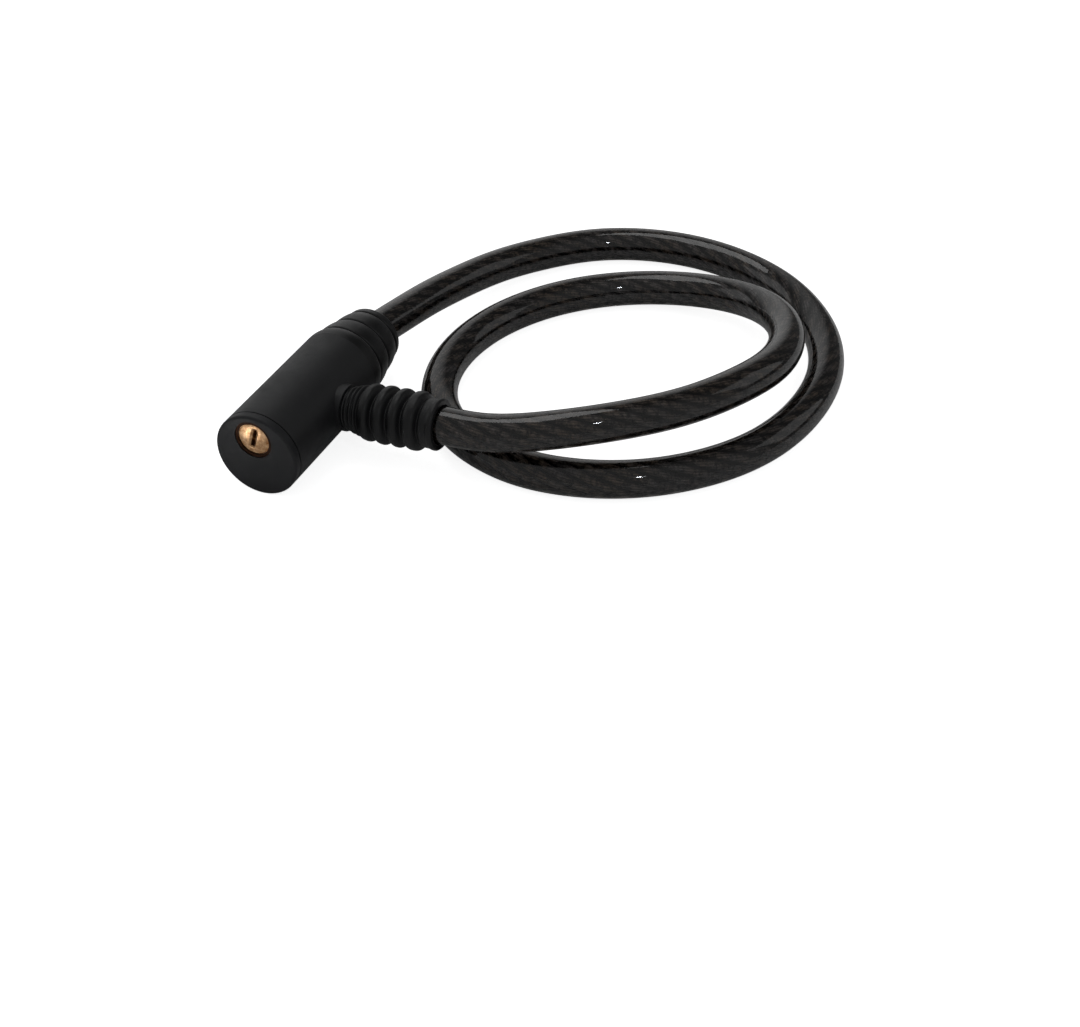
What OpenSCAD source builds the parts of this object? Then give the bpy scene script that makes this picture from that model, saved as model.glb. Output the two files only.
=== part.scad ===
// Cable lock: a keyed barrel, a locking plug and one 12 mm coated steel cable between them.
// The barrel lies on its side along Y with the key face towards -Y. The plug goes into its side
// along +X, and the cable leaves the barrel's tail along +Y. Z is up and z = 0 is the ground.

/* [Barrel] */
// Outer diameter of the lock barrel
barrel_d = 28; // [27:0.5:32]
// Length of the straight barrel, from the key face to the tail boot
barrel_l = 51.6; // [48:0.2:54]
// Distance from the key face to the axis of the plug
face_to_plug = 33; // [31:0.5:35]
// Wall of the soft outer sleeve
sleeve_wall = 1; // [0.8:0.1:1.3]
// Thickness of the end cap round the key core
cap_t = 2.7; // [2:0.1:3.4]
// Radius of the end cap's rounded front edge
cap_edge = 0.8; // [0.3:0.1:1.4]
// Width of the open seam behind the end cap
cap_seam = 0.4; // [0.2:0.1:0.8]
// Depth of the open seam behind the end cap
seam_depth = 0.6; // [0.3:0.1:0.9]
// Height of the raised lip round the plug opening, beyond the barrel
lip_h = 0.8; // [0.5:0.1:1.6]
// Outer diameter of the raised lip
lip_d = 15; // [14.5:0.5:18]

/* [Tail boot] */
// Length of the tail boot
tail_l = 25.4; // [24:0.2:29]
// Diameter of the tail boot where its end rounds off
tail_end_d = 20.2; // [19:0.2:25]
// Radius of the rounded edge at the tail boot's end
tail_edge = 1.6; // [0.8:0.2:2.4]
// Length of the tail boot's straight front, before it tapers
tail_straight = 0.9; // [0.4:0.1:5]
// Distance from the tail boot's front to its first groove
tail_groove_at = 5.7; // [4:0.1:7]
// Distance from one groove of the tail boot to the next
tail_groove_pitch = 7.9; // [6:0.1:8.6]
// Depth of the tail boot's grooves
tail_groove_depth = 0.8; // [0.3:0.1:1]
// Diameter of the housing's spigot inside the tail boot
spigot_d = 18; // [16:0.5:19]
// Length of the housing's spigot inside the tail boot
spigot_l = 11.4; // [9:0.2:14]

/* [Key core] */
// Diameter of the turning key core
core_d = 10.6; // [10.4:0.1:11]
// Length of the key core
core_l = 17.4; // [16:0.2:19]
// Width of the barrel's wall outside the shell, where it is thinnest
core_rim = 1.9; // [1.4:0.1:2.6]
// Depth of the core's face below the key face
core_recess = 0.6; // [0.3:0.1:1.5]
// Wall of the brass shell that the core turns in
shell_wall = 0.95; // [0.8:0.05:1.1]
// Width of the key slot
slot_w = 1.3; // [1:0.1:1.8]
// Height of the key slot
slot_h = 6.4; // [5.2:0.2:7]
// Offset of the key slot from the core's axis, along its own height
slot_shift = 0.5; // [0:0.1:0.8]
// Lean of the key slot towards the plug, from the barrel's own upright
slot_lean = 19; // [0:1:30]

/* [Wafers] */
// Thickness of a wafer
wafer_t = 0.8; // [0.6:0.05:1]
// Width of a wafer
wafer_w = 5.6; // [5:0.1:5.8]
// Height of a wafer
wafer_h = 8.6; // [8:0.1:8.8]
// Distance from one wafer to the next
wafer_pitch = 2.4; // [2.2:0.1:2.6]
// Distance from the core's face to the first wafer
wafer_start = 3; // [2.4:0.1:3.4]
// Travel of a wafer out of the core into the shell's slot
wafer_travel = 0.7; // [0.4:0.1:0.9]
// Outer diameter of a wafer spring
wafer_spring_d = 1.2; // [1:0.05:1.25]

/* [Latch] */
// Travel of the latch into the plug's groove
latch_lift = 2; // [1.6:0.1:2.3]
// Width of the latch, across the barrel
latch_w = 2.8; // [2.4:0.1:3.2]
// Length of the latch block under the plug, along the barrel
latch_l = 8.4; // [7:0.2:9.6]
// Height of the latch block
latch_h = 3.2; // [2.6:0.1:3.6]
// Thickness of the cam behind the core
cam_t = 2.4; // [1.8:0.1:2.8]
// Smallest radius of the cam
cam_r = 3; // [2.8:0.1:3.3]
// Width of the square stub that drives the cam
stub_w = 3.2; // [2.8:0.1:3.4]
// Thickness of the latch's cover plate
cover_t = 1.6; // [1.2:0.1:2]
// Outer diameter of the latch spring
latch_spring_d = 2.6; // [2.2:0.1:2.8]

/* [Plug] */
// Angle at which the plug rises above level
plug_rise = 4; // [3:0.5:7]
// Diameter of the locking pin
pin_d = 8; // [7:0.2:8.6]
// Depth of the seal's seat below the housing's surface
spot_depth = 0.96; // [0.6:0.04:1.2]
// Reach of the pin's nose past the barrel's axis
pin_reach = 8.5; // [6:0.5:9]
// Thickness of the sealing ring under the pin's flange
seal_t = 1.2; // [0.8:0.1:1.6]
// Thickness of the pin's flange
flange_t = 2.7; // [1.8:0.1:3.2]
// Diameter of the pin's flange
flange_d = 12.6; // [12.2:0.1:13]
// Length of the pin's crimped cup, behind the flange
cup_l = 14; // [12:0.5:18]
// Depth of the rope's hole in the cup
cup_depth = 12; // [8:0.5:13]
// Length of the ribbed boot
boot_l = 31; // [29.5:0.5:36]
// Diameter of the boot's neck, next to the barrel
neck_d = 13.9; // [13:0.1:15]
// Number of large ribs
rib_count = 4; // [3:1:4]
// Distance from one large rib to the next
rib_pitch = 5.2; // [4.6:0.1:5.4]
// Depth of the grooves between ribs
rib_depth = 1.1; // [0.6:0.1:1.4]
// Diameter of the first large rib
rib_front_d = 18; // [17:0.2:19]
// Diameter of the last large rib
rib_back_d = 18.2; // [16.4:0.2:18.6]
// Width of the slim rib next to the neck
slim_rib_w = 3.2; // [2.4:0.2:3.6]
// Diameter of the slim rib next to the neck
slim_rib_d = 16.8; // [15:0.2:17.6]
// Length of the smooth collar at the cable end
collar_l = 5.6; // [4:0.2:6.4]
// Diameter of the smooth collar at the cable end
collar_d = 16; // [14.4:0.1:17]

/* [Cable] */
// Outer diameter of the coated cable
cable_d = 12; // [11:0.1:12.2]
// Diameter of the steel rope inside it
rope_d = 6.4; // [6:0.2:9]
// Distance from the ferrule's front to the tail boot
ferrule_lead = 6.6; // [4.6:0.2:7.6]
// Length of the ferrule that holds the fixed end
ferrule_l = 14; // [11:0.5:16]
// Wall of the ferrule round the rope
ferrule_wall = 2.9; // [1.6:0.1:3.1]
// Distance from the ferrule's front to its cross pin
ferrule_pin_at = 4; // [3:0.5:8]
// Diameter of the cross pin beside the ferrule
ferrule_pin_d = 2.5; // [2:0.1:3]
// Diameter of the cross pin that holds the shell
shell_pin_d = 2; // [1.6:0.1:2.2]
// Depth to which each cross pin lies in the piece that it holds
pin_bite = 0.6; // [0.4:0.05:0.8]

/* [Fits] */
// Gap all round between pieces that stay together
seat_gap = 0.04; // [0.02:0.01:0.08]
// Gap all round between pieces that turn or slide
run_gap = 0.05; // [0.03:0.01:0.09]
// Gap round pieces that only have to stay clear
clear_gap = 0.3; // [0.2:0.05:0.4]

/* [Hidden] */
$fn = 72;
// How far a cut runs past the surface that it opens, and a union into its neighbour
over = 1;

// Barrel, measured along Y from the plug's axis
barrel_r = barrel_d / 2;
housing_r = barrel_r - sleeve_wall - seat_gap;
face_y = -face_to_plug;
sleeve_y = face_y + cap_t + cap_seam;
tail_y = face_y + barrel_l;
tail_end_y = tail_y + tail_l;
spigot_end_y = tail_y + spigot_l;

// Core and shell
core_r = core_d / 2;
shell_bore_r = core_r + run_gap;
shell_r = shell_bore_r + shell_wall;
core_up = barrel_r - core_rim - shell_r;
shell_recess = core_recess / 2;
core_y = face_y + core_recess;
core_end_y = core_y + core_l;
wafer_count = 5;
key_depth = wafer_start + wafer_count * wafer_pitch;
ear_w = 1.4;
ear_h = 1;
ear_pocket_bottom = -2.9;
ear_pocket_w = wafer_spring_d + 0.3;
ear_headroom = 0.2;
window_side = 0.4;
window_end = 0.6;
window_step = 0.25;
peg_r = 1.1;
peg_l = 4;
peg_x = 7;
peg_z = -6;

// Cam and latch
cam_y = core_end_y + clear_gap;
cam_end_y = cam_y + cam_t;
cam_turn = 90;
cam_step = 6;
cam_dwell = 12;
cam_round_step = 15;
screw_head_t = 1.2;
screw_head_r = 2.1;
screw_r = 1;
screw_l = 5;
screw_slot_w = 0.6;
chamber_r = cam_r + latch_lift + 2 * clear_gap;
chamber_end_y = cam_end_y + screw_head_t + clear_gap;
pin_r = pin_d / 2;
latch_top = -pin_r - clear_gap;
latch_bottom = latch_top - latch_h;
latch_arm_h = 2.4;
latch_nose_z = core_up - cam_r - latch_lift - clear_gap / 2;
groove_r = -latch_top - latch_lift - 2 * run_gap;
groove_w = latch_w + clear_gap;
cover_z = housing_r - cover_t;
cover_w = 7;
cover_rim = 2;
latch_spring_wire = 0.45;
wafer_spring_wire = 0.25;
spring_coil_gap = 0.42;
pin_inset = 0.4;

// Plug, measured along its own axis from the barrel's axis
socket_r = pin_r + run_gap;
spot_s = housing_r - spot_depth;
spot_r = flange_d / 2 + clear_gap;
seal_s = spot_s + 2 * run_gap;
flange_s = seal_s + seal_t;
boot_s = flange_s + flange_t;
cup_end_s = boot_s + cup_l;
rope_end_s = cup_end_s - cup_depth;
boot_end_s = boot_s + boot_l;
collar_s = boot_end_s - collar_l;
ribs_s = collar_s - rib_count * rib_pitch;
slim_rib_s = ribs_s - slim_rib_w;
rib_steps = 8;
rib_skew = 1.5;
cable_r = cable_d / 2;
rope_r = rope_d / 2;
cable_hole_r = cable_r + seat_gap;
rope_hole_r = rope_r + seat_gap;

// Fixed end of the cable
ferrule_y = tail_y - ferrule_lead;
ferrule_end_y = ferrule_y + ferrule_l;
ferrule_r = max(rope_hole_r + ferrule_wall, cable_hole_r);
crimp_step = ferrule_l / 5;
crimp_r = 0.5;
tail_groove_count = 3;
ferrule_pin_y = ferrule_y + ferrule_pin_at;
ferrule_pin_z = -ferrule_r - ferrule_pin_d / 2 + pin_bite;
shell_pin_y = (core_y + core_end_y) / 2;
shell_pin_z = core_up - shell_r - shell_pin_d / 2 + pin_bite;

// The lock head's own box without the cable, whose centre is the origin
head_max_x = boot_end_s * cos(plug_rise) + collar_d / 2 * sin(plug_rise);
head_centre = [(head_max_x - barrel_r) / 2, (face_y + tail_end_y) / 2, 0];

// Route of the cable: two runs square to what holds it, and hand-chosen points between them,
// in millimetres from the point on the ground below the plug's and the barrel's crossing axes
cable_sides = 12;
free_route = [
    [1.5, 57.5, 13], [4.1, 75, 11.3], [8.4, 94, 9.3], [15, 112.5, 7.7], [25.5, 129.5, 6.5],
    [40, 143.5, 6.1], [58, 151.5, 6.1], [78, 153.5, 6.1], [97, 149.5, 6.1], [114, 140.5, 6.1],
    [128, 127, 6.1], [138, 111, 6.1], [143.5, 93.5, 6.1], [144.5, 75, 6.1], [141.5, 56.5, 6.1],
    [134.5, 39.5, 6.1], [123.5, 25, 6.1], [108.5, 13, 6.1], [91, 5.5, 6.1], [71.5, 3.5, 6.1],
    [52.5, 9, 6.1], [36.5, 21.5, 6.1], [27.5, 39.5, 6.1], [25.5, 59.5, 6.1], [29.5, 79, 6.1],
    [39, 97, 6.1], [54, 112.5, 6.1], [73, 122, 6.8], [95.5, 123, 9.3], [115.5, 113.5, 13.3],
    [128.5, 95, 17.2], [132, 72, 20.1], [126, 50, 22.2], [114.5, 31, 23], [99, 15.5, 23.2],
    [80.5, 4.5, 21.6]
];
fixed_run = [for (y = [ferrule_y, ferrule_end_y + seat_gap, tail_end_y]) [0, y, barrel_r]];
plug_run = [
    for (s = [boot_end_s + cable_d, boot_end_s, cup_end_s + seat_gap, rope_end_s])
        [s * cos(plug_rise), 0, barrel_r + s * sin(plug_rise)]
];
route = concat(fixed_run, free_route, plug_run);

function unit(v) = v / norm(v);
function catmull(a, b, c, d, t) =
    b + (c - a) * t / 2
    + (2 * a - 5 * b + 4 * c - d) * t * t / 2
    + (3 * b - a - 3 * c + d) * t * t * t / 2;
// Points along a curve through p, with a number of steps in each span
function curve(p, first, last, steps) = concat(
    [
        for (i = [first:last - 1]) for (j = [0:steps - 1])
            catmull(p[max(i - 1, 0)], p[i], p[i + 1], p[min(i + 2, len(p) - 1)], j / steps)
    ],
    [p[last]]
);
function tangent(p, i) = unit(p[min(i + 1, len(p) - 1)] - p[max(i - 1, 0)]);
function ring(p, i, r, sides) =
    let (t = tangent(p, i), side = unit(cross(t, [0, 0, 1])), up = cross(side, t))
    [
        for (k = [0:sides - 1])
            p[i] + r * cos(360 * k / sides) * side + r * sin(360 * k / sides) * up
    ];
// Triangles of a tube's wall from ring to ring, the points of each ring starting at offset
function wall_faces(rings, stride, offset, sides, out) = [
    for (i = [0:rings - 2]) for (k = [0:sides - 1])
        let (
            a = i * stride + offset + k,
            b = i * stride + offset + (k + 1) % sides,
            c = a + stride,
            d = b + stride
        )
        each (out ? [[a, d, b], [a, c, d]] : [[a, b, d], [a, d, c]])
];
// The least distance between parts of a path that lie more than apart steps from each other
function least_distance(p, apart) = min([
    for (i = [0:len(p) - 1 - apart]) for (j = [i + apart:len(p) - 1]) norm(p[i] - p[j])
]);

// The cable's axis in short steps, and as many steps as lie between neighbouring strands
span_steps = 5;
fine_route = curve(route, 0, len(route) - 1, span_steps);
echo(cable_least_gap_to_itself = least_distance(fine_route, 4 * span_steps) - cable_d);
echo(cable_length = let (p = fine_route) [
    for (i = [1:len(p) - 1]) norm(p[i] - p[i - 1])
] * [for (i = [1:len(p) - 1]) 1]);
echo(cable_lowest = min([for (p = fine_route) p[2]]) - cable_r);

// Places a child that is drawn round the barrel's axis, with the plug along +X
module in_lock() {
    translate([0, 0, barrel_r] - head_centre)
        rotate([0, -plug_rise, 0])
            children();
}

// Stands a child that is drawn up Z along the barrel, from y
module along_barrel(y) {
    translate([0, y, 0])
        rotate([-90, 0, 0])
            children();
}

// Stands a child that is drawn up Z along the plug, from s
module along_plug(s) {
    translate([s, 0, 0])
        rotate([0, 90, 0])
            children();
}

// Places a child that is drawn round the key core's axis, with the slot upright
module in_core() {
    translate([0, 0, core_up])
        rotate([0, slot_lean, 0])
            children();
}

// A box from one corner to the opposite one
module span(low, high) {
    translate(low)
        cube(high - low);
}

// A solid tube through the points p
module solid_tube(p, r, sides) {
    n = len(p);
    points = [for (i = [0:n - 1]) each ring(p, i, r, sides)];
    start = [for (k = [1:sides - 2]) [0, k, k + 1]];
    finish = [for (k = [1:sides - 2]) [(n - 1) * sides, (n - 1) * sides + k + 1, (n - 1) * sides + k]];
    polyhedron(points, concat(wall_faces(n, sides, 0, sides, true), start, finish));
}

// A hollow tube through the points p
module hollow_tube(p, r, bore_r, sides) {
    n = len(p);
    stride = 2 * sides;
    points = [
        for (i = [0:n - 1])
            each concat(ring(p, i, r, sides), ring(p, i, bore_r, sides))
    ];
    last = (n - 1) * stride;
    ends = [
        for (k = [0:sides - 1])
            let (m = (k + 1) % sides)
            each [
                [k, m, sides + m], [k, sides + m, sides + k],
                [last + k, last + sides + m, last + m], [last + k, last + sides + k, last + sides + m]
            ]
    ];
    polyhedron(points, concat(
        wall_faces(n, stride, 0, sides, true),
        wall_faces(n, stride, sides, sides, false),
        ends
    ));
}

// An open coil spring up Z, from 0 to length
module coil_spring(length, d, wire, sides, rings) {
    rise = length - wire;
    turns = floor(rise / (wire + spring_coil_gap));
    count = turns * rings;
    path = [
        for (i = [0:count])
            [
                (d - wire) / 2 * cos(360 * i / rings),
                (d - wire) / 2 * sin(360 * i / rings),
                wire / 2 + rise * i / count
            ]
    ];
    solid_tube(path, wire / 2, sides);
}
echo(latch_spring_coil_gap =
    let (rise = cover_z + latch_bottom - latch_spring_wire - 2 * run_gap)
    rise / floor(rise / (latch_spring_wire + spring_coil_gap)) - latch_spring_wire);

// A straight cross pin along the plug's direction, with chamfered ends
module cross_pin(d, half_l) {
    chamfer = d / 6;
    along_plug(-half_l)
        rotate_extrude()
            polygon([
                [0, 0], [d / 2 - chamfer, 0], [d / 2, chamfer],
                [d / 2, 2 * half_l - chamfer], [d / 2 - chamfer, 2 * half_l], [0, 2 * half_l]
            ]);
}

// Half the length of a cross pin at height z in a round body, its ends held back under the skin
function pin_half(r, z) = sqrt(r * r - z * z) - pin_inset;

module end_cap() {
    color([0.09, 0.09, 0.1])
        in_lock()
            difference() {
                union() {
                    along_barrel(face_y)
                        rotate_extrude() {
                            square([barrel_r - cap_edge, cap_t]);
                            translate([0, cap_edge])
                                square([barrel_r, cap_t - cap_edge]);
                            translate([barrel_r - cap_edge, cap_edge])
                                intersection() {
                                    circle(cap_edge);
                                    translate([0, -cap_edge])
                                        square(cap_edge);
                                }
                            translate([0, cap_t])
                                square([barrel_r - seam_depth, cap_seam]);
                        }
                    for (x = [-peg_x, peg_x])
                        translate([x, 0, peg_z])
                            along_barrel(sleeve_y - over)
                                cylinder(h = peg_l + over, r = peg_r);
                }
                translate([0, 0, core_up])
                    along_barrel(face_y - over)
                        cylinder(h = cap_t + cap_seam + 2 * over, r = shell_r + seat_gap);
            }
}

module outer_sleeve() {
    color([0.08, 0.08, 0.09])
        in_lock()
            difference() {
                union() {
                    along_barrel(sleeve_y)
                        cylinder(h = tail_y - sleeve_y, r = barrel_r);
                    along_plug(0)
                        cylinder(h = barrel_r + lip_h, r = lip_d / 2);
                }
                along_barrel(sleeve_y - over)
                    cylinder(h = tail_y - sleeve_y + 2 * over, r = housing_r + seat_gap);
                along_plug(0)
                    cylinder(h = barrel_r + lip_h + over, r = spot_r);
            }
}

module lock_housing() {
    color([0.62, 0.63, 0.65])
        in_lock()
            difference() {
                union() {
                    along_barrel(sleeve_y)
                        cylinder(h = tail_y - sleeve_y, r = housing_r);
                    along_barrel(tail_y - over)
                        cylinder(h = spigot_l + over, r = spigot_d / 2);
                }
                // seat of the shell, and the chamber that the cam turns in
                translate([0, 0, core_up])
                    along_barrel(sleeve_y - over)
                        cylinder(h = core_end_y - sleeve_y + over, r = shell_r + seat_gap);
                translate([0, 0, core_up])
                    along_barrel(core_end_y - over)
                        cylinder(h = chamber_end_y - core_end_y + over, r = chamber_r);
                // channel of the latch, open below for its cover
                span(
                    [-latch_w / 2 - run_gap, cam_y - clear_gap, -housing_r - over],
                    [latch_w / 2 + run_gap, latch_l / 2 + clear_gap, latch_top + latch_lift]
                );
                span(
                    [-latch_w / 2 - run_gap, cam_y - clear_gap, latch_bottom],
                    [latch_w / 2 + run_gap, cam_end_y + clear_gap, core_up - cam_r]
                );
                span(
                    [-cover_w / 2 - seat_gap, cam_y - cover_rim - seat_gap, -housing_r - over],
                    [cover_w / 2 + seat_gap, latch_l / 2 + cover_rim + seat_gap, -cover_z]
                );
                // socket of the plug
                along_plug(-pin_reach - clear_gap)
                    cylinder(h = pin_reach + clear_gap + housing_r + over, r = socket_r);
                along_plug(spot_s)
                    cylinder(h = housing_r, r = spot_r);
                // seat of the ferrule
                along_barrel(ferrule_y - clear_gap)
                    cylinder(h = spigot_end_y - ferrule_y + clear_gap + over, r = ferrule_r + seat_gap);
                translate([0, ferrule_pin_y, ferrule_pin_z])
                    along_plug(-housing_r)
                        cylinder(h = 2 * housing_r, r = ferrule_pin_d / 2 + seat_gap);
                translate([0, shell_pin_y, shell_pin_z])
                    along_plug(-housing_r - over)
                        cylinder(h = 2 * (housing_r + over), r = shell_pin_d / 2 + seat_gap);
                for (x = [-peg_x, peg_x])
                    translate([x, 0, peg_z])
                        along_barrel(sleeve_y - over)
                            cylinder(h = peg_l + over + clear_gap, r = peg_r + seat_gap);
            }
}

module tail_boot() {
    end_r = tail_end_d / 2;
    chamfer = 0.35;
    taper_l = tail_l - tail_edge - tail_straight;
    taper = (barrel_r - end_r) / taper_l;
    color([0.1, 0.1, 0.11])
        in_lock()
            along_barrel(tail_y)
                rotate_extrude()
                    difference() {
                        union() {
                            polygon([
                                [cable_hole_r, 0], [barrel_r - chamfer, 0], [barrel_r, chamfer],
                                [barrel_r, tail_straight], [end_r, tail_l - tail_edge],
                                [cable_hole_r, tail_l - tail_edge]
                            ]);
                            translate([cable_hole_r, tail_l - tail_edge - over])
                                square([end_r - tail_edge - cable_hole_r, tail_edge + over]);
                            translate([end_r - tail_edge, tail_l - tail_edge])
                                circle(tail_edge);
                        }
                        translate([0, -over])
                            square([spigot_d / 2 + seat_gap, spigot_l + over]);
                        for (y = [
                            for (k = [0:tail_groove_count - 1]) tail_groove_at + k * tail_groove_pitch
                        ])
                            translate([barrel_r - taper * (y - tail_straight), y])
                                circle(tail_groove_depth);
                    }
}

module cylinder_shell() {
    slot_y = core_y + wafer_start - clear_gap;
    slot_l = wafer_count * wafer_pitch;
    color([0.72, 0.55, 0.3])
        in_lock()
            difference() {
                translate([0, 0, core_up])
                    along_barrel(face_y + shell_recess)
                        cylinder(h = core_end_y - face_y - shell_recess, r = shell_r);
                translate([0, 0, core_up])
                    along_barrel(face_y)
                        cylinder(h = face_to_plug, r = shell_bore_r);
                in_core()
                    span(
                        [-wafer_w / 2 - run_gap, slot_y, 0],
                        [wafer_w / 2 + run_gap, slot_y + slot_l, shell_r + over]
                    );
                translate([0, shell_pin_y, shell_pin_z])
                    along_plug(-housing_r)
                        cylinder(h = 2 * housing_r, r = shell_pin_d / 2 + seat_gap);
            }
}

module shell_pin() {
    color([0.7, 0.7, 0.72])
        in_lock()
            translate([0, shell_pin_y, shell_pin_z])
                cross_pin(shell_pin_d, pin_half(housing_r, shell_pin_z - shell_pin_d / 2));
}

module latch_cover() {
    color([0.66, 0.67, 0.69])
        in_lock()
            intersection() {
                along_barrel(face_y)
                    cylinder(h = barrel_l, r = housing_r);
                span(
                    [-cover_w / 2, cam_y - cover_rim, -housing_r],
                    [cover_w / 2, latch_l / 2 + cover_rim, -cover_z]
                );
            }
}

module latch_spring() {
    color([0.75, 0.76, 0.78])
        in_lock()
            translate([0, 0, -cover_z + run_gap])
                coil_spring(
                    cover_z + latch_bottom - 2 * run_gap, latch_spring_d, latch_spring_wire,
                    sides = 6, rings = 10
                );
}

module latch_bolt() {
    nose_r = latch_w / 2;
    color([0.8, 0.8, 0.82])
        in_lock() {
            span([-latch_w / 2, -latch_l / 2, latch_bottom], [latch_w / 2, latch_l / 2, latch_top]);
            span(
                [-latch_w / 2, cam_y, latch_bottom],
                [latch_w / 2, -latch_l / 2, latch_bottom + latch_arm_h]
            );
            span(
                [-latch_w / 2, cam_y, latch_bottom],
                [latch_w / 2, cam_end_y, latch_nose_z - nose_r]
            );
            translate([0, 0, latch_nose_z - nose_r])
                along_barrel(cam_y)
                    cylinder(h = cam_t, r = nose_r);
        }
}

module tail_ferrule() {
    color([0.72, 0.73, 0.75])
        in_lock()
            difference() {
                along_barrel(ferrule_y)
                    rotate_extrude()
                        difference() {
                            translate([rope_hole_r, 0])
                                square([ferrule_r - rope_hole_r, ferrule_l]);
                            for (k = [3:4])
                                translate([ferrule_r, k * crimp_step])
                                    circle(crimp_r);
                        }
                translate([0, ferrule_pin_y, ferrule_pin_z])
                    along_plug(-housing_r)
                        cylinder(h = 2 * housing_r, r = ferrule_pin_d / 2 + seat_gap);
            }
}

module ferrule_pin() {
    color([0.7, 0.7, 0.72])
        in_lock()
            translate([0, ferrule_pin_y, ferrule_pin_z])
                cross_pin(ferrule_pin_d, pin_half(housing_r, ferrule_pin_z - ferrule_pin_d / 2));
}

module cable_jacket() {
    color([0.16, 0.16, 0.17])
        translate(-head_centre)
            hollow_tube(
                curve(route, 1, len(route) - 2, 2), cable_r, rope_r + 2 * seat_gap, cable_sides
            );
}

module wire_rope() {
    color([0.4, 0.4, 0.42])
        translate(-head_centre)
            solid_tube(curve(route, 0, len(route) - 1, 2), rope_r, cable_sides);
}

module key_core() {
    color([0.86, 0.62, 0.3])
        in_lock()
            in_core()
                difference() {
                    union() {
                        along_barrel(core_y)
                            cylinder(h = core_l, r = core_r);
                        span(
                            [-stub_w / 2, core_end_y - over, -stub_w / 2],
                            [stub_w / 2, cam_end_y, stub_w / 2]
                        );
                    }
                    span(
                        [-slot_w / 2, core_y - over, slot_shift - slot_h / 2],
                        [slot_w / 2, core_y + key_depth, slot_shift + slot_h / 2]
                    );
                    along_barrel(cam_end_y - screw_l)
                        cylinder(h = screw_l + over, r = screw_r + seat_gap);
                    for (i = [0:wafer_count - 1])
                        wafer_slot(core_y + wafer_start + i * wafer_pitch);
                }
}

// The cut in the core that one wafer and its spring lie in
module wafer_slot(y) {
    middle = y + wafer_t / 2;
    span(
        [-wafer_w / 2 - run_gap, y - run_gap, -core_r - over],
        [wafer_w / 2 + run_gap, y + wafer_t + run_gap, core_r + over]
    );
    span(
        [0, middle - ear_pocket_w / 2, ear_pocket_bottom],
        [
            wafer_w / 2 + ear_w + 2 * run_gap, middle + ear_pocket_w / 2,
            ear_h / 2 + wafer_travel + ear_headroom
        ]
    );
}

module wafer(i) {
    y = core_y + wafer_start + (i - 1) * wafer_pitch;
    window_shift = window_step * (i % 3 - 1);
    window_low = slot_shift - slot_h / 2 + window_end + window_shift;
    window_high = slot_shift + slot_h / 2 - window_end + window_shift;
    color([0.85, 0.7, 0.42])
        in_lock()
            in_core()
                difference() {
                    union() {
                        span([-wafer_w / 2, y, -wafer_h / 2], [wafer_w / 2, y + wafer_t, wafer_h / 2]);
                        span(
                            [0, y, -ear_h / 2],
                            [wafer_w / 2 + ear_w, y + wafer_t, ear_h / 2]
                        );
                    }
                    span(
                        [-slot_w / 2 - window_side, y - over, window_low],
                        [slot_w / 2 + window_side, y + wafer_t + over, window_high]
                    );
                }
}

module wafer_springs() {
    ear_middle = wafer_w / 2 + ear_w / 2 + run_gap;
    color([0.75, 0.76, 0.78])
        in_lock()
            in_core()
                for (i = [0:wafer_count - 1])
                    translate([
                        ear_middle,
                        core_y + wafer_start + i * wafer_pitch + wafer_t / 2,
                        ear_pocket_bottom + run_gap
                    ])
                        coil_spring(
                            -ear_pocket_bottom - ear_h / 2 - 2 * run_gap,
                            wafer_spring_d, wafer_spring_wire, sides = 4, rings = 8
                        );
}

module tail_cam() {
    outline = concat(
        [for (a = [-cam_dwell, -cam_dwell / 2]) (cam_r + latch_lift) * [-sin(a), -cos(a)]],
        [
            for (a = [0:cam_step:cam_turn])
                (cam_r + latch_lift * (1 - a / cam_turn)) * [-sin(a), -cos(a)]
        ],
        [
            for (a = [cam_turn + cam_round_step:cam_round_step:360 - cam_round_step])
                cam_r * [-sin(a), -cos(a)]
        ]
    );
    color([0.78, 0.78, 0.8])
        in_lock()
            translate([0, cam_y, core_up])
                difference() {
                    // drawn in X and Z, and given its thickness along Y
                    translate([0, cam_t, 0])
                        rotate([90, 0, 0])
                            linear_extrude(cam_t)
                                polygon(outline);
                    rotate([0, slot_lean, 0])
                        span(
                            [-stub_w / 2 - seat_gap, -over, -stub_w / 2 - seat_gap],
                            [stub_w / 2 + seat_gap, cam_t + over, stub_w / 2 + seat_gap]
                        );
                }
}

module cam_screw() {
    color([0.6, 0.61, 0.63])
        in_lock()
            in_core()
                difference() {
                    union() {
                        along_barrel(cam_end_y)
                            cylinder(h = screw_head_t, r = screw_head_r);
                        along_barrel(cam_end_y - screw_l + clear_gap)
                            cylinder(h = screw_l, r = screw_r);
                    }
                    span(
                        [-screw_slot_w / 2, cam_end_y + screw_head_t / 2, -screw_head_r],
                        [screw_slot_w / 2, cam_end_y + screw_head_t + over, screw_head_r]
                    );
                }
}

module plug_pin() {
    nose = 1.2;
    color([0.8, 0.81, 0.83])
        in_lock()
            along_plug(0)
                rotate_extrude()
                    polygon([
                        [0, -pin_reach], [pin_r - nose, -pin_reach], [pin_r, nose - pin_reach],
                        [pin_r, -groove_w / 2], [groove_r, -groove_w / 2],
                        [groove_r, groove_w / 2], [pin_r, groove_w / 2],
                        [pin_r, flange_s], [flange_d / 2, flange_s],
                        [flange_d / 2, boot_s], [cable_r, boot_s],
                        [cable_r, cup_end_s], [rope_hole_r, cup_end_s],
                        [rope_hole_r, rope_end_s], [0, rope_end_s]
                    ]);
}

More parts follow.
